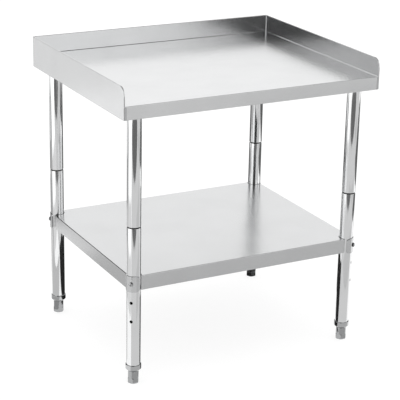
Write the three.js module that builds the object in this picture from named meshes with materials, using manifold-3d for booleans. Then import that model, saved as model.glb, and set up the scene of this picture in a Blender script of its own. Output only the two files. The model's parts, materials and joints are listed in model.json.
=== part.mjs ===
// Stainless work table: a folded sheet worktop with upstands on three edges, four round legs
// in two screwed lengths, an undershelf clamped to the legs, and four levelling feet.
// Millimetres, +Z up, the front edge faces -Y. The origin is on the floor, under the middle.

import * as THREE from 'three';
import { mergeVertices } from 'three/addons/utils/BufferGeometryUtils.js';
import Module from 'manifold-3d';

const wasm = await Module();
wasm.setup();

// ---------------------------------------------------------------- driving dimensions

const gap = 0.3; // clearance between pieces that touch
const past = 5; // how far a cutting solid runs past the face it cuts

// Worktop
const topWidth = 762;
const topDepth = 610;
const workHeight = 782;
const topSheet = 1.2;
const topApron = 36; // drop of the folded edge below the work surface
const topReturn = 12; // safe edge folded inward under the apron
const upstandHeight = 50;
const upstandThickness = 4; // two skins with a narrow cavity between them
const upstandRadius = 25; // front top corner of each side upstand

// Stiffening channels
const channelSheet = 1.5;
const channelWidth = 64;
const channelDrop = 24;
const sideChannelLength = 592;

// Legs
const legInsetX = 50; // leg axis to the side of the worktop
const legInsetY = 43; // leg axis to the front or the rear of the worktop
const tubeRadius = 19;
const tubeWall = 1.2;
const seamHeight = 446; // middle of the groove between the two lengths of a leg
const seamGroove = 3;
const couplerReach = 32; // length of the coupler inside each tube
const couplerBore = 9;
const tubeFoot = 51.5; // height of the lower end of the leg tube

// Leg sockets
const socketRadius = 23.5;
const socketBottom = 741;
const socketPlate = 58;
const socketPlateThickness = 3;
const setScrewRadius = 3;
const setScrewLength = 6;
const setScrewHeight = 749;

// Undershelf
const shelfHeight = 311;
const shelfSheet = 1;
const shelfApron = 41;
const shelfReturn = 10;
const shelfOverhang = 15.2; // shelf edge beyond the leg axes

// Shelf clamps: a plate outside the tube, a saddle inside it and one screw through both
const clampSheet = 1.5;
const clampHalfAngle = 70;
const clampTop = 312;
const clampBottom = 267.5;
const clampCorner = 8;
const saddleHalfAngle = 82;
const shelfScrewHeight = 290;
const holePitch = 53.5; // spacing of the shelf holes down the leg
const holeCount = 3;
const holeRadius = 4.4;
const screwRadius = 3;
const screwHeadRadius = 6;
const screwHeadHeight = 4.5;
const screwTail = 2.5; // screw end beyond the nut
const nutFlats = 10;
const nutHeight = 5;

// Feet
const insertRadius = 21.2;
const insertRim = 2.5; // rim of the insert above the end of the tube
const insertRimGap = 0.8; // open groove between the rim and the tube
const insertRingHeight = 12.3;
const insertConeHeight = 5.5;
const insertConeRadius = 15.5;
const insertReach = 42; // length of the insert inside the tube
const footFlats = 28;
const footHexHeight = 13; // full hexagon at the floor, for a spanner
const footNeckRadius = 14.5; // above it the corners are turned down to this
const footEdge = 1.5; // chamfer round the sole and under the insert
const studRadius = 6;
const studLength = 53;

// Facets
const tubeSides = 30;
const partSides = 20;
const smallSides = 12;
const arcSteps = 8;

// ---------------------------------------------------------------- derived places

const halfWidth = topWidth / 2;
const halfDepth = topDepth / 2;
const tableHeight = workHeight + upstandHeight;
const deckUnderside = workHeight - topSheet;
const apronBottom = workHeight - topApron;
const legX = halfWidth - legInsetX;
const legY = halfDepth - legInsetY;
const channelTop = deckUnderside - gap;
const socketTop = channelTop - channelSheet - gap;
const tubeTop = socketTop - socketPlateThickness - gap;
const tubeBore = tubeRadius - tubeWall;
const clampInner = tubeRadius + gap;
const clampOuter = clampInner + clampSheet;
const clampSeat = clampOuter + gap;
const shelfHalfWidth = legX + shelfOverhang;
const shelfHalfDepth = legY + shelfOverhang;
const shelfUnderside = shelfHeight - shelfSheet;
const shelfBottom = shelfHeight - shelfApron;
const insertTop = tubeFoot - gap;
const insertRimTop = tubeFoot + insertRim;
const insertBottom = insertRimTop - insertRingHeight - insertConeHeight;
const footTop = insertBottom - gap;

const corners = [
  { name: 'fl', x: -1, y: -1 },
  { name: 'fr', x: 1, y: -1 },
  { name: 'rl', x: -1, y: 1 },
  { name: 'rr', x: 1, y: 1 },
];

// ---------------------------------------------------------------- materials

function steel(color, roughness) {
  return new THREE.MeshStandardMaterial({ color, roughness, metalness: 1 });
}

const brushedSteel = steel(0xd6d8d9, 0.34);
const polishedSteel = steel(0xcfd1d3, 0.16);
const channelSteel = steel(0xb7babc, 0.45);
const turnedSteel = steel(0xc2c4c6, 0.25);
const fastenerSteel = steel(0xbfc1c4, 0.3);

// ---------------------------------------------------------------- geometry helpers

const axisX = new THREE.Vector3(1, 0, 0);
const axisY = new THREE.Vector3(0, 1, 0);
const axisZ = new THREE.Vector3(0, 0, 1);

// A closed three.js geometry as a solid that can be joined and cut.
function solidOf(geometry) {
  const bare = geometry.clone();
  bare.deleteAttribute('normal');
  bare.deleteAttribute('uv');
  const merged = mergeVertices(bare);
  const index = merged.index.array;
  const triangles = [];
  for (let i = 0; i < index.length; i += 3) {
    const [a, b, c] = [index[i], index[i + 1], index[i + 2]];
    if (a !== b && b !== c && c !== a) triangles.push(a, b, c);
  }
  const mesh = new wasm.Mesh({
    numProp: 3,
    vertProperties: Float32Array.from(merged.attributes.position.array),
    triVerts: Uint32Array.from(triangles),
  });
  return new wasm.Manifold(mesh);
}

// The solid back as a three.js geometry.
function geometryOf(solid) {
  const mesh = solid.getMesh();
  const geometry = new THREE.BufferGeometry();
  geometry.setAttribute('position', new THREE.BufferAttribute(mesh.vertProperties, 3));
  geometry.setIndex(new THREE.BufferAttribute(mesh.triVerts, 1));
  geometry.computeVertexNormals();
  return geometry;
}

function box(x0, x1, y0, y1, z0, z1) {
  const geometry = new THREE.BoxGeometry(x1 - x0, y1 - y0, z1 - z0);
  geometry.translate((x0 + x1) / 2, (y0 + y1) / 2, (z0 + z1) / 2);
  return solidOf(geometry);
}

// A box centred on the Z axis.
function centredBox(halfX, halfY, z0, z1) {
  return box(-halfX, halfX, -halfY, halfY, z0, z1);
}

// A body of revolution about Z from a closed outline of [radius, height] points, which runs
// up the outside and back down the inside or the axis.
function revolve(outline, sides) {
  const points = outline.map(([radius, height]) => new THREE.Vector2(radius, height));
  points.push(points[0].clone());
  const geometry = new THREE.LatheGeometry(points, sides);
  geometry.rotateX(Math.PI / 2);
  return solidOf(geometry);
}

function tube(inner, outer, z0, z1, sides) {
  return revolve([[inner, z0], [outer, z0], [outer, z1], [inner, z1]], sides);
}

function rod(radius, z0, z1, sides) {
  return revolve([[0, z0], [radius, z0], [radius, z1], [0, z1]], sides);
}

// A rod along X from x0 to x1, at a height.
function crossRod(radius, x0, x1, height, sides) {
  const geometry = new THREE.CylinderGeometry(radius, radius, x1 - x0, sides);
  geometry.rotateZ(-Math.PI / 2);
  geometry.translate((x0 + x1) / 2, 0, height);
  return solidOf(geometry);
}

// An outline drawn in the YZ plane, extruded along X from x0 to x1.
function extrudeAlongX(shape, x0, x1) {
  const options = { depth: x1 - x0, bevelEnabled: false, curveSegments: arcSteps };
  const geometry = new THREE.ExtrudeGeometry(shape, options);
  geometry.applyMatrix4(new THREE.Matrix4().makeBasis(axisY, axisZ, axisX));
  geometry.translate(x0, 0, 0);
  return solidOf(geometry);
}

// An outline drawn in the XY plane, extruded upward from z0 to z1.
function extrudeUp(shape, z0, z1) {
  const options = { depth: z1 - z0, bevelEnabled: false, curveSegments: arcSteps };
  const geometry = new THREE.ExtrudeGeometry(shape, options);
  geometry.translate(0, 0, z0);
  return solidOf(geometry);
}

function outlineOf(points) {
  return new THREE.Shape(points.map(([x, y]) => new THREE.Vector2(x, y)));
}

function hexagon(acrossFlats) {
  const radius = acrossFlats / Math.sqrt(3);
  const points = [];
  for (let i = 0; i < 6; i += 1) {
    const angle = (i * Math.PI) / 3;
    points.push([radius * Math.cos(angle), radius * Math.sin(angle)]);
  }
  return outlineOf(points);
}

// A rectangle with four equal round corners.
function roundedRectangle(x0, x1, y0, y1, radius) {
  const shape = new THREE.Shape();
  shape.moveTo(x0 + radius, y0);
  shape.lineTo(x1 - radius, y0);
  shape.absarc(x1 - radius, y0 + radius, radius, -Math.PI / 2, 0);
  shape.lineTo(x1, y1 - radius);
  shape.absarc(x1 - radius, y1 - radius, radius, 0, Math.PI / 2);
  shape.lineTo(x0 + radius, y1);
  shape.absarc(x0 + radius, y1 - radius, radius, Math.PI / 2, Math.PI);
  shape.lineTo(x0, y0 + radius);
  shape.absarc(x0 + radius, y0 + radius, radius, Math.PI, Math.PI * 1.5);
  return shape;
}

// A curved plate that wraps the tube: an arc of the given half angle about a direction.
function curvedPlate(direction, halfAngleDegrees, z0, z1) {
  const half = THREE.MathUtils.degToRad(halfAngleDegrees);
  const shape = new THREE.Shape();
  shape.absarc(0, 0, clampOuter, direction - half, direction + half);
  shape.absarc(0, 0, clampInner, direction + half, direction - half, true);
  return extrudeUp(shape, z0, z1);
}

function addPiece(group, name, solid, material) {
  const mesh = new THREE.Mesh(geometryOf(solid), material);
  mesh.name = name;
  group.add(mesh);
  return mesh;
}

// ---------------------------------------------------------------- worktop

// Side view of the whole worktop: square but for the round front corner of the side upstands.
function worktopOutline() {
  const shape = new THREE.Shape();
  shape.moveTo(-halfDepth, apronBottom);
  shape.lineTo(halfDepth, apronBottom);
  shape.lineTo(halfDepth, tableHeight);
  shape.lineTo(-halfDepth + upstandRadius, tableHeight);
  const centreY = -halfDepth + upstandRadius;
  const centreZ = tableHeight - upstandRadius;
  shape.absarc(centreY, centreZ, upstandRadius, Math.PI / 2, Math.PI);
  return shape;
}

// One sheet: the deck, the double skin upstands and the apron with its folded safe edge.
function makeWorktop() {
  const innerX = halfWidth - upstandThickness;
  const innerY = halfDepth - upstandThickness;
  const skinX = halfWidth - topSheet;
  const skinY = halfDepth - topSheet;
  const cavityX = innerX + topSheet;
  const cavityY = innerY + topSheet;
  const cavityTop = tableHeight - topSheet;
  const returnTop = apronBottom + topSheet;

  const overDeck = box(-innerX, innerX, -halfDepth - past, innerY, workHeight, tableHeight + past);
  const underDeck = centredBox(skinX, skinY, returnTop, deckUnderside);
  const returnX = halfWidth - topReturn;
  const returnY = halfDepth - topReturn;
  const underOpening = centredBox(returnX, returnY, apronBottom - past, returnTop + past);
  const leftCavity = box(-skinX, -cavityX, -skinY, skinY, returnTop, cavityTop);
  const rightCavity = box(cavityX, skinX, -skinY, skinY, returnTop, cavityTop);
  const rearCavity = box(-skinX, skinX, cavityY, skinY, returnTop, cavityTop);
  // The cavity keeps inside the round corner, so its front end is cut back with it.
  const cornerKeep = box(
    -halfWidth, halfWidth, -halfDepth, -halfDepth + upstandRadius, workHeight, tableHeight,
  );
  const sideCavities = leftCavity.add(rightCavity).subtract(cornerKeep);

  return extrudeAlongX(worktopOutline(), -halfWidth, halfWidth)
    .subtract(overDeck)
    .subtract(underDeck)
    .subtract(underOpening)
    .subtract(sideCavities)
    .subtract(rearCavity);
}

// ---------------------------------------------------------------- channels

// A channel along X, open downward, with its web on top.
function makeChannel(length, width, drop, top) {
  const half = width / 2;
  const inner = half - channelSheet;
  const outline = outlineOf([
    [-half, top - drop],
    [-inner, top - drop],
    [-inner, top - channelSheet],
    [inner, top - channelSheet],
    [inner, top - drop],
    [half, top - drop],
    [half, top],
    [-half, top],
  ]);
  return extrudeAlongX(outline, -length / 2, length / 2);
}

function addTopChannels(group) {
  const side = makeChannel(sideChannelLength, channelWidth, channelDrop, channelTop);
  for (const [name, sign] of [['top_channel_left', -1], ['top_channel_right', 1]]) {
    const mesh = addPiece(group, name, side, channelSteel);
    mesh.rotation.z = Math.PI / 2;
    mesh.position.x = sign * legX;
  }
  const crossLength = 2 * (legX - channelWidth / 2 - gap);
  const cross = makeChannel(crossLength, channelWidth, channelDrop, channelTop);
  addPiece(group, 'top_channel_cross', cross, channelSteel);
}

// ---------------------------------------------------------------- legs
// Each leg piece is drawn about the leg axis with +X pointing outward along the diagonal.

function makeSocket() {
  const plate = centredBox(socketPlate / 2, socketPlate / 2, socketTop - socketPlateThickness, socketTop);
  const cup = rod(socketRadius, socketBottom, socketTop - socketPlateThickness / 2, tubeSides);
  const bore = rod(clampInner, socketBottom - past, socketTop - socketPlateThickness, tubeSides);
  const screwHole = crossRod(
    setScrewRadius + gap, -socketRadius - past, 0, setScrewHeight, smallSides,
  );
  return plate.rotate([0, 0, 45]).add(cup).subtract(bore).subtract(screwHole);
}

function makeSetScrew() {
  const tip = -clampInner;
  return crossRod(setScrewRadius, tip - setScrewLength, tip, setScrewHeight, smallSides);
}

function makeUpperTube() {
  return tube(tubeBore, tubeRadius, seamHeight + seamGroove / 2 + gap, tubeTop, tubeSides);
}

function makeLowerTube() {
  let body = tube(tubeBore, tubeRadius, tubeFoot, seamHeight - seamGroove / 2 - gap, tubeSides);
  for (let i = 0; i < holeCount; i += 1) {
    const height = shelfScrewHeight - i * holePitch;
    const hole = crossRod(holeRadius, -tubeRadius - past, tubeRadius + past, height, smallSides);
    body = body.subtract(hole);
  }
  return body;
}

function makeCoupler() {
  const spigot = tubeBore - gap;
  const low = seamHeight - seamGroove / 2;
  const high = seamHeight + seamGroove / 2;
  return revolve([
    [couplerBore, low - couplerReach],
    [spigot, low - couplerReach],
    [spigot, low],
    [tubeBore, low],
    [tubeBore, high],
    [spigot, high],
    [spigot, high + couplerReach],
    [couplerBore, high + couplerReach],
  ], partSides);
}

// A cup for the end of the tube, with a tapered underside and a bored spigot.
function makeFootInsert() {
  const spigot = tubeBore - gap;
  const bore = studRadius + gap;
  const groove = tubeRadius + insertRimGap;
  return revolve([
    [bore, insertBottom],
    [insertConeRadius, insertBottom],
    [insertRadius, insertBottom + insertConeHeight],
    [insertRadius, insertRimTop],
    [groove, insertRimTop],
    [groove, insertTop],
    [spigot, insertTop],
    [spigot, insertTop + insertReach],
    [bore, insertTop + insertReach],
  ], partSides);
}

// A hexagonal body, its corners turned down above the base, on a threaded stud.
function makeFoot() {
  const cornerRadius = footFlats / Math.sqrt(3);
  const runout = cornerRadius - footNeckRadius;
  const turned = revolve([
    [0, 0],
    [cornerRadius - footEdge, 0],
    [cornerRadius, footEdge],
    [cornerRadius, footHexHeight],
    [footNeckRadius, footHexHeight + runout],
    [footNeckRadius, footTop - footEdge],
    [footNeckRadius - footEdge, footTop],
    [0, footTop],
  ], tubeSides);
  const hex = extrudeUp(hexagon(footFlats), -past, footTop + past);
  const stud = rod(studRadius, footTop - past, footTop + studLength, partSides);
  return turned.intersect(hex).add(stud);
}

// ---------------------------------------------------------------- undershelf and its clamps

// A pan with a folded apron and safe edge, cut round at each leg.
function makeUndershelf() {
  let shelf = centredBox(shelfHalfWidth, shelfHalfDepth, shelfBottom, shelfHeight);
  const innerX = shelfHalfWidth - shelfSheet;
  const innerY = shelfHalfDepth - shelfSheet;
  shelf = shelf.subtract(centredBox(innerX, innerY, shelfBottom + shelfSheet, shelfUnderside));
  const returnX = shelfHalfWidth - shelfReturn;
  const returnY = shelfHalfDepth - shelfReturn;
  shelf = shelf.subtract(centredBox(returnX, returnY, shelfBottom - past, shelfBottom + past));
  for (const corner of corners) {
    const x = corner.x * legX;
    const y = corner.y * legY;
    const endX = corner.x * (shelfHalfWidth + past);
    const endY = corner.y * (shelfHalfDepth + past);
    const notch = rod(clampSeat, shelfBottom - past, shelfHeight + past, tubeSides).translate([x, y, 0]);
    const outside = box(
      Math.min(x, endX), Math.max(x, endX),
      Math.min(y, endY), Math.max(y, endY),
      shelfBottom - past, shelfHeight + past,
    );
    shelf = shelf.subtract(notch).subtract(outside);
  }
  return shelf;
}

function makeShelfChannel() {
  const length = 2 * (shelfHalfWidth - shelfSheet - gap);
  return makeChannel(length, channelWidth, channelDrop, shelfUnderside - gap);
}

function makeClampPlate() {
  const plate = curvedPlate(0, clampHalfAngle, clampBottom, clampTop);
  const halfChord = clampOuter * Math.sin(THREE.MathUtils.degToRad(clampHalfAngle));
  const face = roundedRectangle(-halfChord, halfChord, clampBottom, clampTop, clampCorner);
  const rounding = extrudeAlongX(face, 0, clampOuter + past);
  const hole = crossRod(screwRadius + gap, 0, clampOuter + past, shelfScrewHeight, smallSides);
  return plate.intersect(rounding).subtract(hole);
}

function makeSaddle() {
  const saddle = curvedPlate(Math.PI, saddleHalfAngle, shelfBottom, shelfHeight);
  const hole = crossRod(screwRadius + gap, -clampOuter - past, 0, shelfScrewHeight, smallSides);
  return saddle.subtract(hole);
}

function makeShelfScrew() {
  const tail = -clampSeat - nutHeight - screwTail;
  const head = crossRod(
    screwHeadRadius, clampSeat, clampSeat + screwHeadHeight, shelfScrewHeight, partSides,
  );
  const shankEnd = clampSeat + screwHeadHeight / 2;
  const shank = crossRod(screwRadius, tail, shankEnd, shelfScrewHeight, smallSides);
  return head.add(shank);
}

function makeShelfNut() {
  const outer = -clampSeat - gap;
  const body = extrudeAlongX(hexagon(nutFlats), outer - nutHeight, outer);
  const bore = crossRod(screwRadius + gap, outer - nutHeight - past, outer + past, 0, smallSides);
  return body.subtract(bore).translate([0, 0, shelfScrewHeight]);
}

// ---------------------------------------------------------------- assembly

const legPieces = [
  ['leg_socket', makeSocket(), turnedSteel],
  ['socket_set_screw', makeSetScrew(), fastenerSteel],
  ['upper_leg_tube', makeUpperTube(), polishedSteel],
  ['leg_coupler', makeCoupler(), turnedSteel],
  ['lower_leg_tube', makeLowerTube(), polishedSteel],
  ['foot_insert', makeFootInsert(), turnedSteel],
  ['levelling_foot', makeFoot(), turnedSteel],
  ['clamp_plate', makeClampPlate(), polishedSteel],
  ['shelf_saddle', makeSaddle(), brushedSteel],
  ['shelf_screw', makeShelfScrew(), fastenerSteel],
  ['shelf_nut', makeShelfNut(), fastenerSteel],
];

const workTable = new THREE.Group();

addPiece(workTable, 'worktop', makeWorktop(), brushedSteel);
addTopChannels(workTable);
addPiece(workTable, 'undershelf', makeUndershelf(), brushedSteel);
addPiece(workTable, 'shelf_channel', makeShelfChannel(), channelSteel);

for (const corner of corners) {
  const leg = new THREE.Group();
  leg.position.set(corner.x * legX, corner.y * legY, 0);
  leg.rotation.z = Math.atan2(corner.y, corner.x);
  for (const [name, solid, material] of legPieces) {
    addPiece(leg, `${name}_${corner.name}`, solid, material);
  }
  // Two flats of each foot face the front and the rear.
  const foot = leg.getObjectByName(`levelling_foot_${corner.name}`);
  foot.rotation.z = -leg.rotation.z;
  workTable.add(leg);
}

export default workTable;
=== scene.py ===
"""Looks of the stainless work table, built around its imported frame. Metres, +Z up, front at -Y."""

import json
import math

import bmesh
import bpy
from mathutils import Matrix, Vector


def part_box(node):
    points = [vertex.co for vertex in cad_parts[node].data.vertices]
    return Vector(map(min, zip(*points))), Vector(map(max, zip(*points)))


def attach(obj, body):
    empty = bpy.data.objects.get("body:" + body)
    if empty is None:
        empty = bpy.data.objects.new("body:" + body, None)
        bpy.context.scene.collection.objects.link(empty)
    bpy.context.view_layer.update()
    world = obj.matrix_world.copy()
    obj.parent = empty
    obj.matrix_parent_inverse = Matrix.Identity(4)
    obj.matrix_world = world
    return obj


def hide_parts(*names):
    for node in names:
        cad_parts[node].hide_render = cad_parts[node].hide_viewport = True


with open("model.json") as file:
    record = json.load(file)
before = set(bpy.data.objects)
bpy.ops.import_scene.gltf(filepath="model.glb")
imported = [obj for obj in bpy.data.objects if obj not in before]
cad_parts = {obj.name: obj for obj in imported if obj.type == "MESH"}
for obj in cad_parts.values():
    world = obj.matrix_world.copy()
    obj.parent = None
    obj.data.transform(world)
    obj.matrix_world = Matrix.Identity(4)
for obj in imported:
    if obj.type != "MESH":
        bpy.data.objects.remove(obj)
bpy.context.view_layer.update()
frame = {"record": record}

MM = 0.001
BODY = "table_frame"

# ---------------------------------------------------------------- places taken from the frame

mounts = {mount["name"]: Vector(mount["pos_m"]) for mount in frame["record"]["mounts"]}
top_low, top_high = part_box("worktop")
shelf_low, shelf_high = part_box("undershelf")
deck_z = mounts["work_surface"].z
CORNERS = {"fl": (-1, -1), "fr": (1, -1), "rl": (-1, 1), "rr": (1, 1)}


def leg_axis(corner):
    low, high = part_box(f"lower_leg_tube_{corner}")
    return (low.x + high.x) / 2, (low.y + high.y) / 2


def heights(node):
    low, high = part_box(node)
    return low.z, high.z


# ---------------------------------------------------------------- sizes of the real pieces

TOP_SHEET = 1.2 * MM
TOP_RETURN = 12 * MM
UPSTAND = 4 * MM
UPSTAND_RADIUS = 25 * MM
RIM_RADIUS = 1.7 * MM
FOLD_RADIUS = 2.2 * MM
COVE_RADIUS = 1.5 * MM
WELD_RADIUS = 1.7 * MM
CORNER_FLANGE = 7.5 * MM
SEAM_WIDTH = 0.6 * MM
SEAM_DEPTH = 0.8 * MM

SHELF_SHEET = 1 * MM
SHELF_RETURN = 10 * MM
SHELF_FOLD_RADIUS = 1.8 * MM

CHANNEL_SHEET = 1.5 * MM
CHANNEL_BEND = 2.2 * MM
CHANNEL_EDGE = 0.4 * MM

GAP = 0.3 * MM
TUBE_RADIUS = 19 * MM
TUBE_BORE = 17.8 * MM
TUBE_EDGE = 0.3 * MM
CLAMP_INNER = TUBE_RADIUS + GAP
CLAMP_SHEET = 1.5 * MM
CLAMP_OUTER = CLAMP_INNER + CLAMP_SHEET
CLAMP_SEAT = CLAMP_OUTER + GAP
CLAMP_HALF_ANGLE = math.radians(70)
SADDLE_HALF_ANGLE = math.radians(82)
CLAMP_CORNER = 8 * MM
SHELF_SCREW_Z = 290 * MM
HOLE_PITCH = 53.5 * MM
HOLE_COUNT = 3
HOLE_RADIUS = 4.4 * MM
SCREW_RADIUS = 3 * MM
SCREW_HOLE_RADIUS = SCREW_RADIUS + GAP
SCREW_PITCH = 1 * MM
SCREW_HEAD_RADIUS = 6 * MM
SCREW_HEAD_HEIGHT = 4.5 * MM
SCREW_RECESS_WIDTH = 1.1 * MM
SCREW_RECESS_REACH = 6.4 * MM
SCREW_TAIL = 7.5 * MM
NUT_FLATS = 10 * MM
NUT_HEIGHT = 5 * MM

SEAM_Z = 446 * MM
SEAM_GROOVE = 3 * MM
COUPLER_BORE = 9 * MM
SOCKET_RADIUS = 23.5 * MM
SOCKET_PLATE = 58 * MM
SOCKET_PLATE_THICKNESS = 3 * MM
SOCKET_WELD = 2 * MM
SET_SCREW_RADIUS = 3 * MM
SET_SCREW_LENGTH = 6 * MM
SET_SCREW_Z = 749 * MM
SET_SCREW_KEY = 3 * MM

STUD_RADIUS = 6 * MM
STUD_PITCH = 1.75 * MM
INSERT_RADIUS = 21.2 * MM
INSERT_RIM = 2.5 * MM
INSERT_RIM_GAP = 0.8 * MM
INSERT_RING_HEIGHT = 12.3 * MM
INSERT_CONE_RADIUS = 15.5 * MM
FOOT_FLATS = 28 * MM
FOOT_HEX_HEIGHT = 13 * MM
FOOT_NECK_RADIUS = 14.5 * MM
FOOT_EDGE = 1.5 * MM
FOOT_CORNER = 0.6 * MM

THREAD_DEPTH = 0.61  # share of the pitch
THREAD_CREST = 1.35  # above 1, so the ridge has a flat top
THREAD_ROOT = 0.5 * MM  # how far a thread starts inside the body that it stands on

ROUND = 96  # segments round a leg tube
CUT_MARGIN = 10 * MM  # how far a cutter runs past the piece it cuts
CUT_REACH = 40 * MM  # from the leg axis to well outside the leg
TOLERANCE = 0.02 * MM


# ---------------------------------------------------------------- mesh helpers

def link_mesh(name, mesh):
    piece = bpy.data.objects.new(name, mesh)
    bpy.context.scene.collection.objects.link(piece)
    return piece


def mesh_piece(name, bm):
    """The bmesh as a new object, with its faces pointing out."""
    bmesh.ops.recalc_face_normals(bm, faces=bm.faces)
    mesh = bpy.data.meshes.new(name)
    bm.to_mesh(mesh)
    bm.free()
    return link_mesh(name, mesh)


def bake_modifiers(piece):
    """Applies the piece's modifiers to its mesh."""
    bpy.context.view_layer.update()
    evaluated = piece.evaluated_get(bpy.context.evaluated_depsgraph_get())
    baked = bpy.data.meshes.new_from_object(evaluated)
    old = piece.data
    piece.modifiers.clear()
    piece.data = baked
    bpy.data.meshes.remove(old)


def combine(piece, others, operation="DIFFERENCE"):
    """Cuts the other solids from the piece, or keeps what they share, and deletes them."""
    for other in others:
        modifier = piece.modifiers.new("combine", "BOOLEAN")
        modifier.object = other
        modifier.operation = operation
        modifier.solver = "EXACT"
    bake_modifiers(piece)
    for other in others:
        mesh = other.data
        bpy.data.objects.remove(other)
        bpy.data.meshes.remove(mesh)


def box_piece(low, high, name="cutter"):
    bm = bmesh.new()
    size = Vector(high) - Vector(low)
    middle = (Vector(high) + Vector(low)) / 2
    matrix = Matrix.Translation(middle) @ Matrix.Diagonal((*size, 1))
    bmesh.ops.create_cube(bm, size=1, matrix=matrix)
    return mesh_piece(name, bm)


def prism_piece(name, outline, to_world, start, end):
    """A closed outline of (a, b) points extruded from start to end. to_world(a, b, c) places a point."""
    bm = bmesh.new()
    first = [bm.verts.new(to_world(a, b, start)) for a, b in outline]
    last = [bm.verts.new(to_world(a, b, end)) for a, b in outline]
    count = len(outline)
    for i in range(count):
        j = (i + 1) % count
        bm.faces.new((first[i], first[j], last[j], last[i]))
    bm.faces.new(first[::-1])
    bm.faces.new(last)
    return mesh_piece(name, bm)


def along_x(a, b, c):
    return c, a, b


def along_y(a, b, c):
    return a, c, b


def along_z(a, b, c):
    return a, b, c


def arc(centre, radius, start, end, steps):
    """Points of an arc, angles in degrees."""
    points = []
    for i in range(steps + 1):
        angle = math.radians(start + (end - start) * i / steps)
        points.append((centre[0] + radius * math.cos(angle), centre[1] + radius * math.sin(angle)))
    return points


def rounded(corners, steps=6):
    """A closed outline from (a, b, radius) corners, each corner rounded by its radius."""
    points = []
    count = len(corners)
    for i, (a, b, radius) in enumerate(corners):
        here = Vector((a, b))
        if radius <= 0:
            points.append((a, b))
            continue
        before = (Vector(corners[i - 1][:2]) - here).normalized()
        after = (Vector(corners[(i + 1) % count][:2]) - here).normalized()
        half = before.angle(after) / 2
        reach = radius / math.tan(half)
        centre = here + (before + after).normalized() * radius / math.sin(half)
        start = here + before * reach - centre
        end = here + after * reach - centre
        sweep = start.angle_signed(end)
        for k in range(steps + 1):
            turned = Matrix.Rotation(-sweep * k / steps, 2) @ start
            points.append(tuple(centre + turned))
    return points


def lathe_piece(name, corners, segments=ROUND):
    """A body of revolution about Z. corners are (radius, height, rounding), closed on itself or
    with its first and last corner on the axis."""
    outline = rounded(corners, steps=5)
    on_axis = [radius < 1e-7 for radius, _ in outline]
    bm = bmesh.new()
    rings = []
    for (radius, height), axis in zip(outline, on_axis):
        if axis:
            rings.append([bm.verts.new((0, 0, height))] * segments)
            continue
        ring = []
        for k in range(segments):
            angle = 2 * math.pi * k / segments
            ring.append(bm.verts.new((radius * math.cos(angle), radius * math.sin(angle), height)))
        rings.append(ring)
    count = len(outline)
    for i in range(count):
        j = (i + 1) % count
        if on_axis[i] and on_axis[j]:
            continue
        for k in range(segments):
            m = (k + 1) % segments
            face = []
            for vert in (rings[i][k], rings[i][m], rings[j][m], rings[j][k]):
                if vert not in face:
                    face.append(vert)
            bm.faces.new(face)
    return mesh_piece(name, bm)


def rod_piece(radius, start, end, segments):
    """A plain rod about Z, to cut with."""
    return lathe_piece("cutter", [
        (0, start, 0), (radius, start, 0), (radius, end, 0), (0, end, 0),
    ], segments)


def cross_rod(radius, start, end, height, segments=32):
    """A rod along X, at a height."""
    rod = rod_piece(radius, start, end, segments)
    rod.data.transform(Matrix.Translation((0, 0, height)) @ Matrix.Rotation(math.pi / 2, 4, "Y"))
    return rod


def hexagon(across_flats):
    radius = across_flats / math.sqrt(3)
    corners = []
    for k in range(6):
        angle = math.radians(60 * k)
        corners.append((radius * math.cos(angle), radius * math.sin(angle)))
    return corners


def thread_piece(name, major, pitch, start, end, segments=32, rows=6):
    """A threaded rod about Z: one helical ridge that fades out at both flat ends. rows is the
    number of rings of vertices for each turn."""
    depth = THREAD_DEPTH * pitch
    count = max(2, round((end - start) / pitch * rows))
    bm = bmesh.new()
    rings = []
    for i in range(count + 1):
        height = start + (end - start) * i / count
        fade = min(1, (height - start) / pitch, (end - height) / pitch)
        ring = []
        for k in range(segments):
            turn = k / segments
            phase = (height / pitch - turn) % 1
            ridge = min(1, THREAD_CREST * (1 - abs(2 * phase - 1)))
            radius = major - depth + depth * ridge * fade
            angle = 2 * math.pi * turn
            ring.append(bm.verts.new((radius * math.cos(angle), radius * math.sin(angle), height)))
        rings.append(ring)
    for low, high in zip(rings, rings[1:]):
        for k in range(segments):
            m = (k + 1) % segments
            bm.faces.new((low[k], low[m], high[m], high[k]))
    bm.faces.new(rings[0][::-1])
    bm.faces.new(rings[-1])
    return mesh_piece(name, bm)


def join_pieces(pieces, name):
    """The pieces as one object, their meshes kept apart."""
    bm = bmesh.new()
    for piece in pieces:
        bm.from_mesh(piece.data)
        mesh = piece.data
        bpy.data.objects.remove(piece)
        bpy.data.meshes.remove(mesh)
    return mesh_piece(name, bm)


def smooth(piece, angle=35):
    """Smooth shading, sharp only where faces meet at more than the angle."""
    piece.data.shade_smooth()
    piece.data.set_sharp_from_angle(angle=math.radians(angle))
    return piece


def bevel(piece, rule, segments):
    """Rounds the edges for which rule(a, b) gives a radius, and keeps the flat faces flat."""
    mesh = piece.data
    attribute = mesh.attributes.new("bevel_weight_edge", "FLOAT", "EDGE")
    radii = []
    for edge in mesh.edges:
        a, b = (mesh.vertices[index].co for index in edge.vertices)
        radii.append(rule(a, b))
    widest = max(radii)
    attribute.data.foreach_set("value", [radius / widest for radius in radii])
    modifier = piece.modifiers.new("bevel", "BEVEL")
    modifier.limit_method = "WEIGHT"
    modifier.offset_type = "OFFSET"
    modifier.width = widest
    modifier.segments = segments
    modifier.use_clamp_overlap = False
    modifier.miter_outer = "MITER_SHARP"
    bake_modifiers(piece)
    flat_faces(piece)


def bevel_all(piece, radius, segments=2, angle=30):
    """Rounds every sharp edge a little."""
    modifier = piece.modifiers.new("bevel", "BEVEL")
    modifier.limit_method = "ANGLE"
    modifier.angle_limit = math.radians(angle)
    modifier.width = radius
    modifier.segments = segments
    bake_modifiers(piece)
    flat_faces(piece)


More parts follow.
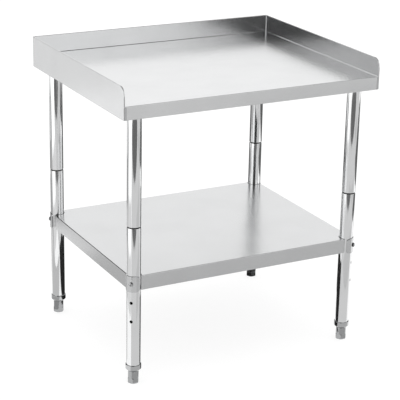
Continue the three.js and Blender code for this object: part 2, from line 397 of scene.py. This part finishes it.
def flat_faces(piece):
    """Smooth shading that leaves large faces flat, so only the rounded edges turn the light."""
    smooth(piece, 40)
    modifier = piece.modifiers.new("normals", "WEIGHTED_NORMAL")
    modifier.keep_sharp = True
    modifier.weight = 100


def near(value, target):
    return abs(value - target) < TOLERANCE


def both_near(first, second, target):
    return near(first, target) and near(second, target)


# ---------------------------------------------------------------- materials

PATCHES = 9  # broad patches per metre
PATCH_SHADE = 0.96  # of the colour, where a patch is darkest
LINE_DEPTH = 0.02 * MM


def steel(name, colour, roughness, grain, spread, bump, blotch):
    """Bare stainless steel. grain is how often the finish lines repeat along x, y and z, per metre.
    spread is how far the lines change the roughness, and blotch how far the patches do."""
    material = bpy.data.materials.new(name)
    material.use_nodes = True
    tree = material.node_tree
    tree.nodes.clear()
    add = tree.nodes.new
    output = add("ShaderNodeOutputMaterial")
    shader = add("ShaderNodeBsdfPrincipled")
    shader.inputs["Metallic"].default_value = 1
    place = add("ShaderNodeTexCoord")

    stretch = add("ShaderNodeMapping")
    stretch.inputs["Scale"].default_value = grain
    lines = add("ShaderNodeTexNoise")
    lines.inputs["Scale"].default_value = 1
    lines.inputs["Detail"].default_value = 3
    lines.inputs["Roughness"].default_value = 0.6
    tree.links.new(place.outputs["Object"], stretch.inputs["Vector"])
    tree.links.new(stretch.outputs["Vector"], lines.inputs["Vector"])

    clouds = add("ShaderNodeTexNoise")
    clouds.inputs["Scale"].default_value = PATCHES
    clouds.inputs["Detail"].default_value = 4
    tree.links.new(place.outputs["Object"], clouds.inputs["Vector"])

    # Roughness: the finish lines, plus broad patches where hands and cloths have been.
    line_range = add("ShaderNodeMapRange")
    line_range.inputs["To Min"].default_value = roughness - spread
    line_range.inputs["To Max"].default_value = roughness + spread
    patch_range = add("ShaderNodeMapRange")
    patch_range.inputs["To Min"].default_value = -blotch
    patch_range.inputs["To Max"].default_value = blotch
    total = add("ShaderNodeMath")
    total.operation = "ADD"
    total.use_clamp = True
    tree.links.new(lines.outputs["Fac"], line_range.inputs["Value"])
    tree.links.new(clouds.outputs["Fac"], patch_range.inputs["Value"])
    tree.links.new(line_range.outputs["Result"], total.inputs[0])
    tree.links.new(patch_range.outputs["Result"], total.inputs[1])
    tree.links.new(total.outputs["Value"], shader.inputs["Roughness"])

    # Colour: a slight darkening in the patches.
    tint = add("ShaderNodeMix")
    tint.data_type = "RGBA"
    dark = [channel * PATCH_SHADE for channel in colour]
    tint.inputs["A"].default_value = (*dark, 1)
    tint.inputs["B"].default_value = (*colour, 1)
    shade = add("ShaderNodeMapRange")
    shade.inputs["From Min"].default_value = 0.25
    shade.inputs["From Max"].default_value = 0.6
    tree.links.new(clouds.outputs["Fac"], shade.inputs["Value"])
    tree.links.new(shade.outputs["Result"], tint.inputs["Factor"])
    tree.links.new(tint.outputs["Result"], shader.inputs["Base Color"])

    ridges = add("ShaderNodeBump")
    ridges.inputs["Strength"].default_value = bump
    ridges.inputs["Distance"].default_value = LINE_DEPTH
    tree.links.new(lines.outputs["Fac"], ridges.inputs["Height"])
    tree.links.new(ridges.outputs["Normal"], shader.inputs["Normal"])
    tree.links.new(shader.outputs["BSDF"], output.inputs["Surface"])
    return material


BRUSH = 2600  # finish lines per metre across the grain
ALONG = 14
GRAIN_X = (ALONG, BRUSH, BRUSH)
GRAIN_Y = (BRUSH, ALONG, BRUSH)
GRAIN_Z = (BRUSH, BRUSH, ALONG)
TOP_COLOUR = (0.79, 0.795, 0.80)
# The shelf's colour is darker than the worktop's, though both are the same steel. It is a painted shade
# for the dimmer light the shelf reflects below the worktop.
SHELF_SHADED_COLOUR = (0.71, 0.715, 0.72)
BRIGHT_COLOUR = (0.56, 0.565, 0.57)


def brushed(name, colour, roughness, grain):
    """Sheet with a fine satin grain."""
    return steel(name, colour, roughness, grain, 0.03, 0.05, 0.012)


top_along_x = brushed("brushed_along_x", TOP_COLOUR, 0.2, GRAIN_X)
top_along_z = brushed("brushed_along_z", TOP_COLOUR, 0.2, GRAIN_Z)
shelf_along_x = brushed("shelf_brushed_x", SHELF_SHADED_COLOUR, 0.22, GRAIN_X)
shelf_along_z = brushed("shelf_brushed_z", SHELF_SHADED_COLOUR, 0.22, GRAIN_Z)
flange_finish = brushed("welded_corner", (0.60, 0.605, 0.61), 0.24, GRAIN_Z)
# Painted shadow: a near-black finish that draws a thin dark line along the shelf's side folds.
fold_shadow_paint = brushed("painted_fold_shadow", (0.04, 0.04, 0.042), 0.3, GRAIN_Y)

# Name, colour, roughness, grain, spread, bump and blotch.
tube_finish = steel("polished_tube", (0.88, 0.885, 0.89), 0.08, (60, 60, 1800), 0.03, 0.06, 0.02)
plate_finish = steel("polished_plate", (0.70, 0.705, 0.71), 0.16, (60, 60, 1500), 0.04, 0.08, 0.03)
mill_finish = steel("mill_finish", (0.62, 0.63, 0.64), 0.38, (240, 240, 240), 0.06, 0.2, 0.06)
socket_finish = steel("turned_steel", (0.72, 0.73, 0.74), 0.2, (90, 90, 2400), 0.06, 0.25, 0.03)
foot_finish = steel("cast_foot", (0.41, 0.415, 0.42), 0.16, (300, 300, 1200), 0.06, 0.2, 0.05)
insert_finish = steel("turned_ring", BRIGHT_COLOUR, 0.1, (90, 90, 2400), 0.04, 0.1, 0.03)
fastener_finish = steel("bright_fastener", BRIGHT_COLOUR, 0.2, (500, 500, 500), 0.05, 0.15, 0.03)
# Painted shadow: a dark finish along the edges of the clamps and round the sides of the screw heads.
edge_shadow_paint = steel("painted_edge_shadow", (0.14, 0.14, 0.145), 0.35, (500, 500, 500), 0.05, 0.15, 0.03)
# Painted shade: a near-black finish inside the tubes and on the coupler, whose groove shows at the seam.
recess_shade_paint = steel("painted_recess_shade", (0.05, 0.05, 0.05), 0.5, (200, 200, 400), 0.1, 0.2, 0.05)


SIDEWAYS = 0.8  # least share of x in the normal of a face that looks to the left or right
EDGE_ON = 0.75  # most share of the outward direction in the normal of an edge


def set_finish(piece, *materials):
    piece.data.materials.clear()
    for material in materials:
        piece.data.materials.append(material)


def finish_by_direction(piece, level, upright):
    """Faces that look to the left or right get the upright finish, all others the level one."""
    set_finish(piece, level, upright)
    for polygon in piece.data.polygons:
        polygon.material_index = 1 if abs(polygon.normal.x) > SIDEWAYS else 0


def finish_where(piece, main, other, rule):
    """The main finish, and the other one on faces for which rule(centre, normal) holds."""
    set_finish(piece, main, other)
    for polygon in piece.data.polygons:
        polygon.material_index = 1 if rule(polygon.center, polygon.normal) else 0


def fit_out(piece, body, node):
    """The piece rides on the body and stands for the node."""
    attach(piece, body)
    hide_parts(node)


# ---------------------------------------------------------------- worktop

def mark_corner_flanges(sheet):
    """The ends of the front apron are flanges of the side skins, welded over it and duller."""
    bm = bmesh.new()
    bm.from_mesh(sheet.data)
    start = top_high.x - CORNER_FLANGE
    for side in (-1, 1):
        parts = bm.verts[:] + bm.edges[:] + bm.faces[:]
        bmesh.ops.bisect_plane(bm, geom=parts, plane_co=(side * start, 0, 0), plane_no=(1, 0, 0))
    for face in bm.faces:
        middle = face.calc_center_median()
        looks_forward = face.normal.y < -0.7
        on_apron_end = abs(middle.x) > start and middle.z < deck_z
        if looks_forward and on_apron_end:
            face.material_index = 2
    bm.to_mesh(sheet.data)
    bm.free()
    sheet.data.materials.append(flange_finish)


def make_worktop():
    outer_x = top_high.x
    inner_x = outer_x - UPSTAND
    front = top_low.y
    rear = top_high.y
    inner_y = rear - UPSTAND
    bottom = top_low.z
    rim = top_high.z
    arc_start = rim - UPSTAND_RADIUS
    arc_end = front + UPSTAND_RADIUS

    outline = [(front, bottom), (rear, bottom), (rear, rim)]
    outline += arc((arc_end, arc_start), UPSTAND_RADIUS, 90, 180, 20)
    sheet = prism_piece("worktop_sheet", outline, along_x, -outer_x, outer_x)

    skin = TOP_SHEET
    cutters = [
        box_piece((-inner_x, front - CUT_MARGIN, deck_z), (inner_x, inner_y, rim + CUT_MARGIN)),
        box_piece(
            (skin - outer_x, front + skin, bottom + skin),
            (outer_x - skin, rear - skin, deck_z - skin),
        ),
        box_piece(
            (TOP_RETURN - outer_x, front + TOP_RETURN, bottom - CUT_MARGIN),
            (outer_x - TOP_RETURN, rear - TOP_RETURN, bottom + CUT_MARGIN),
        ),
    ]
    for side in (-1, 1):
        seam = side * (outer_x - CORNER_FLANGE)
        cutters.append(box_piece(
            (seam - SEAM_WIDTH / 2, front - CUT_MARGIN, bottom - CUT_MARGIN),
            (seam + SEAM_WIDTH / 2, front + SEAM_DEPTH, deck_z - FOLD_RADIUS),
        ))
    combine(sheet, cutters)

    def radius(a, b):
        on_outer_x = both_near(abs(a.x), abs(b.x), outer_x)
        on_inner_x = both_near(abs(a.x), abs(b.x), inner_x)
        on_side = on_outer_x or on_inner_x
        on_front = both_near(a.y, b.y, front)
        on_rear = both_near(a.y, b.y, rear)
        on_inner_y = both_near(a.y, b.y, inner_y)
        on_top = both_near(a.z, b.z, rim)
        on_deck = both_near(a.z, b.z, deck_z)
        at_bottom = both_near(a.z, b.z, bottom)
        beside_arc = min(a.z, b.z) > arc_start - TOLERANCE and max(a.y, b.y) < arc_end + TOLERANCE
        on_curve = beside_arc and not near(a.z, b.z)
        above_deck = min(a.z, b.z) > deck_z - TOLERANCE
        if on_inner_x and on_inner_y:
            return WELD_RADIUS
        if on_deck and (on_inner_x or on_inner_y):
            return COVE_RADIUS
        if on_top and (on_side or on_rear or on_inner_y):
            return RIM_RADIUS
        if on_curve and on_side:
            return RIM_RADIUS
        if on_front and (on_outer_x or on_inner_x and above_deck):
            return RIM_RADIUS
        if on_rear and on_outer_x:
            return RIM_RADIUS
        if on_front and on_deck:
            return FOLD_RADIUS
        if at_bottom and (on_outer_x or on_front or on_rear):
            return TOP_SHEET
        return 0

    bevel(sheet, radius, segments=6)
    finish_by_direction(sheet, top_along_x, top_along_z)
    mark_corner_flanges(sheet)
    fit_out(sheet, BODY, "worktop")


# ---------------------------------------------------------------- undershelf

def corner_cutters(corner):
    """A square out to the shelf's corner and a round seat for the clamp, both about the leg."""
    sign_x, sign_y = CORNERS[corner]
    x, y = leg_axis(corner)
    start = shelf_low.z - CUT_MARGIN
    end = shelf_high.z + CUT_MARGIN
    ends = sorted((x, sign_x * (shelf_high.x + CUT_MARGIN)))
    sides = sorted((y, sign_y * (shelf_high.y + CUT_MARGIN)))
    square = box_piece((ends[0], sides[0], start), (ends[1], sides[1], end))
    seat = rod_piece(CLAMP_SEAT, start, end, 64)
    seat.data.transform(Matrix.Translation((x, y, 0)))
    return [square, seat]


def make_undershelf():
    low, high = shelf_low, shelf_high
    sheet = SHELF_SHEET
    lip = SHELF_RETURN
    shelf = box_piece(low, high, "undershelf_pan")

    def radius(a, b):
        if both_near(a.z, b.z, high.z):
            return SHELF_FOLD_RADIUS
        if both_near(a.z, b.z, low.z):
            return SHELF_SHEET
        return 0

    # The folds are rounded first, so that they run at full radius into the corner cuts.
    bevel(shelf, radius, segments=6)
    cutters = [
        box_piece(
            (low.x + sheet, low.y + sheet, low.z + sheet),
            (high.x - sheet, high.y - sheet, high.z - sheet),
        ),
        box_piece(
            (low.x + lip, low.y + lip, low.z - CUT_MARGIN),
            (high.x - lip, high.y - lip, low.z + CUT_MARGIN),
        ),
    ]
    for corner in CORNERS:
        cutters += corner_cutters(corner)
    combine(shelf, cutters)
    flat_faces(shelf)
    finish_by_direction(shelf, shelf_along_x, shelf_along_z)
    mark_side_folds(shelf)
    fit_out(shelf, BODY, "undershelf")


def mark_side_folds(shelf):
    """The folds along the left and right sides get a painted shadow, a thin dark line."""
    shelf.data.materials.append(fold_shadow_paint)
    for polygon in shelf.data.polygons:
        turned_out = abs(polygon.normal.x) > 0.2
        turned_up = polygon.normal.z > 0.3
        if turned_out and turned_up:
            polygon.material_index = 2


# ---------------------------------------------------------------- channels

def make_channel(node, to_world, start, end, across, low, high):
    """A folded channel, open downward. across is its middle, seen along its length."""
    half = (across[1] - across[0]) / 2
    middle = (across[1] + across[0]) / 2
    sheet = CHANNEL_SHEET
    bend = CHANNEL_BEND
    inside = bend - sheet
    edge = CHANNEL_EDGE
    outline = rounded([
        (middle - half, low, edge),
        (middle - half + sheet, low, edge),
        (middle - half + sheet, high - sheet, inside),
        (middle + half - sheet, high - sheet, inside),
        (middle + half - sheet, low, edge),
        (middle + half, low, edge),
        (middle + half, high, bend),
        (middle - half, high, bend),
    ], 5)
    channel = prism_piece(f"{node}_fold", outline, to_world, start, end)
    smooth(channel, 40)
    set_finish(channel, mill_finish)
    fit_out(channel, BODY, node)


def make_channels():
    for node in ("top_channel_left", "top_channel_right"):
        low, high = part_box(node)
        make_channel(node, along_y, low.y, high.y, (low.x, high.x), low.z, high.z)
    for node in ("top_channel_cross", "shelf_channel"):
        low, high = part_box(node)
        make_channel(node, along_x, low.x, high.x, (low.y, high.y), low.z, high.z)


# ---------------------------------------------------------------- leg pieces
# Each is drawn about the leg axis, with +X pointing outward along the table's diagonal.

def plain_tube(name, node):
    low, high = heights(node)
    return lathe_piece(name, [
        (TUBE_BORE, low, TUBE_EDGE), (TUBE_RADIUS, low, TUBE_EDGE),
        (TUBE_RADIUS, high, TUBE_EDGE), (TUBE_BORE, high, TUBE_EDGE),
    ])


def upper_tube(node):
    return smooth(plain_tube("upper_tube", node))


def lower_tube(node):
    tube = plain_tube("lower_tube", node)
    holes = []
    for k in range(HOLE_COUNT):
        height = SHELF_SCREW_Z - k * HOLE_PITCH
        holes.append(cross_rod(HOLE_RADIUS, -CUT_REACH, CUT_REACH, height, 40))
    combine(tube, holes)
    return smooth(tube)


def coupler(node):
    low, high = heights(node)
    groove_low = SEAM_Z - SEAM_GROOVE / 2
    groove_high = SEAM_Z + SEAM_GROOVE / 2
    spigot = TUBE_BORE - GAP
    return smooth(lathe_piece("coupler", [
        (COUPLER_BORE, low, 0), (spigot, low, 1 * MM), (spigot, groove_low, 0),
        (TUBE_BORE, groove_low, 0), (TUBE_BORE, groove_high, 0),
        (spigot, groove_high, 0), (spigot, high, 1 * MM), (COUPLER_BORE, high, 0),
    ]))


def socket(node):
    low, high = heights(node)
    under = high - SOCKET_PLATE_THICKNESS
    middle = high - SOCKET_PLATE_THICKNESS * 0.6
    weld = SOCKET_RADIUS + SOCKET_WELD
    cup = lathe_piece("socket", [
        (CLAMP_INNER, low, 0.6 * MM), (SOCKET_RADIUS, low, 1.5 * MM),
        (SOCKET_RADIUS, under, 0.1 * MM), (weld, middle, 0.1 * MM),
        (0, middle, 0), (0, under - 0.1 * MM, 0), (CLAMP_INNER, under - 0.1 * MM, 0.3 * MM),
    ])
    combine(cup, [cross_rod(SET_SCREW_RADIUS + 0.1 * MM, -CUT_REACH, 0, SET_SCREW_Z)])
    half = SOCKET_PLATE / 2
    square = [(-half, -half), (half, -half), (half, half), (-half, half)]
    outline = rounded([(a, b, 3 * MM) for a, b in square])
    flange = prism_piece("flange", outline, along_z, under, high)
    flange.data.transform(Matrix.Rotation(math.pi / 4, 4, "Z"))
    bevel_all(flange, 0.4 * MM)
    bake_modifiers(flange)
    return smooth(join_pieces([cup, flange], "socket"))


def set_screw(node):
    radius, length = SET_SCREW_RADIUS, SET_SCREW_LENGTH
    body = lathe_piece("set_screw", [
        (0, 0, 0), (radius - 0.8 * MM, 0, 0.3 * MM), (radius, 0.9 * MM, 0.2 * MM),
        (radius, length - 0.4 * MM, 0.3 * MM), (0, length, 0),
    ], 32)
    recess = prism_piece("cutter", hexagon(SET_SCREW_KEY), along_z, length / 2, length * 1.5)
    combine(body, [recess])
    upright = Matrix.Rotation(-math.pi / 2, 4, "Y")
    body.data.transform(Matrix.Translation((-CLAMP_INNER, 0, SET_SCREW_Z)) @ upright)
    return smooth(body)


def foot_insert(node):
    low, high = heights(node)
    spigot = TUBE_BORE - GAP
    bore = STUD_RADIUS + GAP
    groove = TUBE_RADIUS + INSERT_RIM_GAP
    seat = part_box(node.replace("foot_insert", "lower_leg_tube"))[0].z - GAP
    rim = seat + GAP + INSERT_RIM
    return smooth(lathe_piece("insert", [
        (bore, low, 0.5 * MM), (INSERT_CONE_RADIUS, low, 0.6 * MM),
        (INSERT_RADIUS, rim - INSERT_RING_HEIGHT, 1 * MM), (INSERT_RADIUS, rim, 0.6 * MM),
        (groove, rim, 0.3 * MM), (groove, seat, 0.2 * MM),
        (spigot, seat, 0.2 * MM), (spigot, high, 1 * MM), (bore, high, 0.5 * MM),
    ]))


def levelling_foot(node):
    low, high = heights(node)
    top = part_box(node.replace("levelling_foot", "foot_insert"))[0].z - GAP
    corner = FOOT_FLATS / math.sqrt(3)
    neck = FOOT_NECK_RADIUS
    runout = corner - neck
    body = lathe_piece("foot", [
        (0, low, 0), (corner - FOOT_EDGE, low, 0.4 * MM), (corner, low + FOOT_EDGE, 0.4 * MM),
        (corner, low + FOOT_HEX_HEIGHT, 0.4 * MM),
        (neck, low + FOOT_HEX_HEIGHT + runout, 0.8 * MM),
        (neck, top - FOOT_EDGE, 0.6 * MM), (neck - FOOT_EDGE, top, 0.4 * MM), (0, top, 0),
    ])
    outline = rounded([(a, b, FOOT_CORNER) for a, b in hexagon(FOOT_FLATS)], 4)
    faces = prism_piece("faces", outline, along_z, low - CUT_MARGIN, top + CUT_MARGIN)
    combine(body, [faces], "INTERSECT")
    stud = thread_piece("stud", STUD_RADIUS, STUD_PITCH, top - THREAD_ROOT, high)
    return smooth(join_pieces([body, stud], "foot"), 40)


def clamp_arc(name, direction, half_angle, low, high):
    """A plate bent round the tube, its middle in the direction."""
    steps = 40
    start = math.degrees(direction - half_angle)
    end = math.degrees(direction + half_angle)
    outline = arc((0, 0), CLAMP_OUTER, start, end, steps)
    outline += arc((0, 0), CLAMP_INNER, end, start, steps)
    return prism_piece(name, outline, along_z, low, high)


def clamp_plate(node):
    low, high = heights(node)
    plate = clamp_arc("plate", 0, CLAMP_HALF_ANGLE, low, high)
    half = CLAMP_OUTER * math.sin(CLAMP_HALF_ANGLE)
    outline = rounded([
        (-half, low, CLAMP_CORNER), (half, low, CLAMP_CORNER),
        (half, high, CLAMP_CORNER), (-half, high, CLAMP_CORNER),
    ], 10)
    face = prism_piece("face", outline, along_x, 0, CUT_REACH)
    combine(plate, [face], "INTERSECT")
    combine(plate, [cross_rod(SCREW_HOLE_RADIUS, 0, CUT_REACH, SHELF_SCREW_Z)])
    bevel_all(plate, 0.4 * MM, 3, 40)
    return plate


def saddle(node):
    low, high = heights(node)
    plate = clamp_arc("saddle", math.pi, SADDLE_HALF_ANGLE, low, high)
    combine(plate, [cross_rod(SCREW_HOLE_RADIUS, -CUT_REACH, 0, SHELF_SCREW_Z)])
    bevel_all(plate, 0.3 * MM, 2, 40)
    return plate


def lay_along_x(piece):
    """Turns a piece drawn about Z onto the axis of the shelf screw."""
    sideways = Matrix.Rotation(math.pi / 2, 4, "Y")
    piece.data.transform(Matrix.Translation((0, 0, SHELF_SCREW_Z)) @ sideways)


def shelf_screw(node):
    seat = CLAMP_SEAT
    crown = seat + SCREW_HEAD_HEIGHT
    rim = SCREW_HEAD_RADIUS
    head = lathe_piece("screw", [
        (0, seat, 0), (rim, seat, 0.3 * MM), (rim, crown - 1.4 * MM, 1.4 * MM),
        (rim * 0.7, crown - 0.1 * MM, 1.2 * MM), (0, crown, 0),
    ], 48)
    arms = []
    wide, reach = SCREW_RECESS_WIDTH / 2, SCREW_RECESS_REACH / 2
    for x, y in ((reach, wide), (wide, reach)):
        arms.append(box_piece((-x, -y, crown - 2 * MM), (x, y, crown + 2 * MM)))
    combine(head, arms)
    tail = -CLAMP_SEAT - SCREW_TAIL
    shank = thread_piece("shank", SCREW_RADIUS, SCREW_PITCH, tail, seat + THREAD_ROOT, 24, 5)
    screw = join_pieces([head, shank], "screw")
    lay_along_x(screw)
    return smooth(screw, 45)


def shelf_nut(node):
    near_end = -CLAMP_SEAT - GAP
    far_end = near_end - NUT_HEIGHT
    corner = NUT_FLATS / math.sqrt(3)
    flat = NUT_FLATS / 2
    chamfer = 0.8 * MM
    body = lathe_piece("nut", [
        (SCREW_HOLE_RADIUS, far_end, 0.4 * MM), (flat, far_end, 0), (corner, far_end + chamfer, 0),
        (corner, near_end - chamfer, 0), (flat, near_end, 0), (SCREW_HOLE_RADIUS, near_end, 0.4 * MM),
    ], 48)
    faces = prism_piece(
        "faces", hexagon(NUT_FLATS), along_z, far_end - CUT_MARGIN, near_end + CUT_MARGIN,
    )
    combine(body, [faces], "INTERSECT")
    lay_along_x(body)
    return smooth(body)


# Name, maker, finish and slot. A maker takes the name of the front left node.
LEG_PIECES = [
    ("leg_socket", socket, socket_finish, "socket_steel"),
    ("socket_set_screw", set_screw, fastener_finish, "fastener_steel"),
    ("upper_leg_tube", upper_tube, tube_finish, "tube_steel"),
    # The coupler takes the painted shade, so its groove at the seam shows as a dark line.
    ("leg_coupler", coupler, recess_shade_paint, "socket_steel"),
    ("lower_leg_tube", lower_tube, tube_finish, "tube_steel"),
    ("foot_insert", foot_insert, insert_finish, "foot_steel"),
    ("levelling_foot", levelling_foot, foot_finish, "foot_steel"),
    ("clamp_plate", clamp_plate, plate_finish, "bracket_steel"),
    ("shelf_saddle", saddle, plate_finish, "bracket_steel"),
    ("shelf_screw", shelf_screw, fastener_finish, "fastener_steel"),
    ("shelf_nut", shelf_nut, fastener_finish, "fastener_steel"),
]


def in_tube_bore(centre, normal):
    return math.hypot(centre.x, centre.y) < TUBE_BORE + 0.1 * MM


def on_sheet_edge(centre, normal):
    outward = Vector((centre.x, centre.y, 0)).normalized()
    return abs(normal.dot(outward)) < EDGE_ON


def on_head_side(centre, normal):
    return centre.x > CLAMP_OUTER and abs(normal.x) < EDGE_ON


# Painted shade inside the tubes, and a painted shadow as a dark line along the cut edges of the clamps
# and round the screw heads.
SECOND_FINISHES = {
    "upper_leg_tube": (recess_shade_paint, in_tube_bore),
    "lower_leg_tube": (recess_shade_paint, in_tube_bore),
    "clamp_plate": (edge_shadow_paint, on_sheet_edge),
    "shelf_saddle": (edge_shadow_paint, on_sheet_edge),
    "shelf_screw": (edge_shadow_paint, on_head_side),
}


def make_legs():
    for name, maker, material, slot in LEG_PIECES:
        pattern = maker(f"{name}_fl")
        if name in SECOND_FINISHES:
            finish_where(pattern, material, *SECOND_FINISHES[name])
        else:
            set_finish(pattern, material)
        for corner, (sign_x, sign_y) in CORNERS.items():
            piece = pattern.copy()
            piece.data = pattern.data.copy()
            piece.name = f"{name}_{corner}_detail"
            bpy.context.scene.collection.objects.link(piece)
            x, y = leg_axis(corner)
            # The flats of the feet face the front; all else points outward.
            turn = 0 if name == "levelling_foot" else math.atan2(sign_y, sign_x)
            piece.data.transform(Matrix.Rotation(turn, 4, "Z"))
            piece.location = (x, y, 0)
            body = f"foot_{corner}" if name == "levelling_foot" else BODY
            fit_out(piece, body, f"{name}_{corner}")
        bpy.data.objects.remove(pattern)


# ---------------------------------------------------------------- studio
# Bright steel shows little but what stands round it, so the studio is set like a product
# photographer's: a white room, with grey and black cards that only the reflections see.
# Places are in metres, and a brightness of 1 is white.

WHITE_ROOM = 1.05
FLOOR_GLOW = 0.82
FLOOR_PAINT = 0.24
FLOOR_REACH = 40
FLOOR_GAP = 0.5 * MM  # below the soles, so that the mats clear it

OVERHEAD_HEIGHT = 3.6
OVERHEAD_SIDE = 3
OVERHEAD_POWER = 20

CAMERA_PLACE = Vector((-1.8265, -3.4281, 1.7484))
CAMERA_YAW = math.radians(28.06)  # to the right of straight ahead
CAMERA_PITCH = math.radians(19.33)  # downward
CAMERA_ROLL = math.radians(1.19)
CAMERA_LENS = 129.654  # millimetres, on a sensor 36 mm wide
CAMERA_SENSOR = 36


def glowing(name, brightness, paint=0.0):
    """A matt material that shines by itself and so takes only a faint shadow."""
    material = bpy.data.materials.new(name)
    material.use_nodes = True
    shader = material.node_tree.nodes["Principled BSDF"]
    shader.inputs["Base Color"].default_value = (paint, paint, paint, 1)
    shader.inputs["Roughness"].default_value = 1
    shader.inputs["Specular IOR Level"].default_value = 0
    shader.inputs["Emission Color"].default_value = (1, 1, 1, 1)
    shader.inputs["Emission Strength"].default_value = brightness
    return material


def make_floor():
    bm = bmesh.new()
    bmesh.ops.create_grid(bm, x_segments=1, y_segments=1, size=FLOOR_REACH)
    floor = mesh_piece("floor", bm)
    floor.location.z = -FLOOR_GAP
    set_finish(floor, glowing("floor_paint", FLOOR_GLOW, FLOOR_PAINT))


def add_card(name, corners, brightness):
    """A flat card or mat that only reflections see."""
    bm = bmesh.new()
    bm.faces.new([bm.verts.new(corner) for corner in corners])
    card = mesh_piece(name, bm)
    set_finish(card, glowing(name, brightness))
    card.visible_camera = False
    card.visible_diffuse = False
    card.visible_shadow = False
    card.visible_transmission = False


def standing_card(name, start, end, distance, low, high, brightness):
    """An upright card round the table, from one compass angle to the other: 0 is +X, 90 is +Y."""
    ends = []
    for angle in (start, end):
        turn = math.radians(angle)
        ends.append((distance * math.cos(turn), distance * math.sin(turn)))
    (ax, ay), (bx, by) = ends
    add_card(name, [(ax, ay, low), (bx, by, low), (bx, by, high), (ax, ay, high)], brightness)


# Name, first and last compass angle, distance, bottom, top and brightness.
STANDING_CARDS = [
    ("left_softbox", 162, 204, 1.7, 0.02, 1.5, 1.35),
    ("front_right_flag", 303.3, 314, 6, 1.1, 3.6, 0.0),
    ("rear_left_flag", 102, 118.8, 6, 1.0, 3.8, 0.0),
    ("far_left_flag", 124, 162, 6, 1.9, 3.0, 0.0),
    ("right_flag", 2, 40, 6, 1.2, 4.0, 0.08),
    ("camera_side_flag", 214, 264, 5, 0.8, 4.5, 0.03),
]

# Name, outline, height and brightness. Where two mats overlap, the higher one shows.
LEVEL_CARDS = [
    ("overhead_flag", [(-2.4, -2.4), (2.4, -2.4), (2.4, 2.4), (-2.4, 2.4)], 3.4, 0.08),
    ("front_mat", [
        (-0.36, -0.28), (-4, -2.1), (-4, -9), (7, -9), (4, -1.75), (0.36, -0.28),
    ], 0.4 * MM, 0.66),
    ("near_front_mat", [(-0.2, -0.6), (1.0, -0.6), (1.1, -1.2), (-0.1, -1.2)], 0.8 * MM, 0.56),
    ("camera_side_mat", arc((-1.71, -4.05), 2.53, 0, 345, 23), 0.8 * MM, 0.14),
    ("right_mat", [(1.5, -1.2), (3.5, -1.2), (3.5, 0.6), (1.5, 0.6)], 0.8 * MM, 0.12),
    ("apron_side_mat", [(1.05, -1.9), (1.9, -1.9), (2.0, -2.7), (1.2, -2.7)], 0.8 * MM, 0.5),
    ("left_far_mat", [(-2.6, 2.5), (-0.9, 2.5), (-0.9, 4.6), (-2.6, 4.6)], 0.4 * MM, 0.8),
    ("left_mat", [
        (-0.78, -0.5), (-1.5, -0.7), (-1.5, 0.3), (-1.2, 1.2), (-0.66, 1.0), (-0.5, 0.25), (-0.78, 0.15),
    ], 0.4 * MM, 0.74),
    ("rear_left_mat", [
        (-0.8, 0.3), (-3, 1.2), (-3, 2.6), (-1.9, 2.2),
        (-1.2, 1.6), (-0.1, 2.1), (0.2, 1.3), (-0.95, 0.85),
    ], 0.6 * MM, 0.42),
    ("rear_mat", [
        (-0.27, -0.1), (-0.27, 0.4), (-0.5, 0.9), (-1.05, 2.8),
        (1.2, 3.2), (3.2, 1.2), (1.2, 0.2), (0.43, 0.1),
    ], 0.8 * MM, 0.1),
    ("leg_side_mat", [
        (-0.36, 0.3), (-0.345, -0.15), (-0.42, -0.15), (-0.6, 0.1), (-0.8, 0.3), (-0.8, 0.7), (-0.5, 0.6),
    ], 1 * MM, 0.55),
    # Painted shade: a near-black mat for the shaded floor under the table, as the steel reflects it.
    ("painted_under_table_shade", [
        (-0.29, -0.27), (0.27, -0.27), (0.27, 0.1), (0.43, 0.5), (-0.25, 0.5), (-0.25, 0.1),
    ], 1.2 * MM, 0.02),
]


def make_cards():
    for card in STANDING_CARDS:
        standing_card(*card)
    for name, outline, height, brightness in LEVEL_CARDS:
        add_card(name, [(x, y, height) for x, y in outline], brightness)


def make_world():
    world = bpy.data.worlds.new("studio")
    world.use_nodes = True
    background = world.node_tree.nodes["Background"]
    background.inputs["Color"].default_value = (1, 1, 1, 1)
    background.inputs["Strength"].default_value = WHITE_ROOM
    bpy.context.scene.world = world


def make_overhead_light():
    data = bpy.data.lights.new("overhead", "AREA")
    data.size = OVERHEAD_SIDE
    data.energy = OVERHEAD_POWER
    light = bpy.data.objects.new("overhead", data)
    bpy.context.scene.collection.objects.link(light)
    light.location.z = OVERHEAD_HEIGHT


def make_camera():
    yaw, pitch, roll = CAMERA_YAW, CAMERA_PITCH, CAMERA_ROLL
    forward = Vector((
        math.sin(yaw) * math.cos(pitch), math.cos(yaw) * math.cos(pitch), -math.sin(pitch),
    ))
    level = Vector((math.cos(yaw), -math.sin(yaw), 0))
    above = level.cross(forward)
    right = math.cos(roll) * level + math.sin(roll) * above
    up = math.cos(roll) * above - math.sin(roll) * level
    data = bpy.data.cameras.new("camera")
    data.sensor_width = CAMERA_SENSOR
    data.lens = CAMERA_LENS
    camera = bpy.data.objects.new("camera", data)
    bpy.context.scene.collection.objects.link(camera)
    rotation = Matrix((right, up, -forward)).transposed()
    camera.matrix_world = Matrix.Translation(CAMERA_PLACE) @ rotation.to_4x4()
    bpy.context.scene.camera = camera


def make_studio():
    bpy.context.scene.view_settings.view_transform = "Standard"
    make_world()
    make_floor()
    make_cards()
    make_overhead_light()
    make_camera()


make_worktop()
make_undershelf()
make_channels()
make_legs()
make_studio()
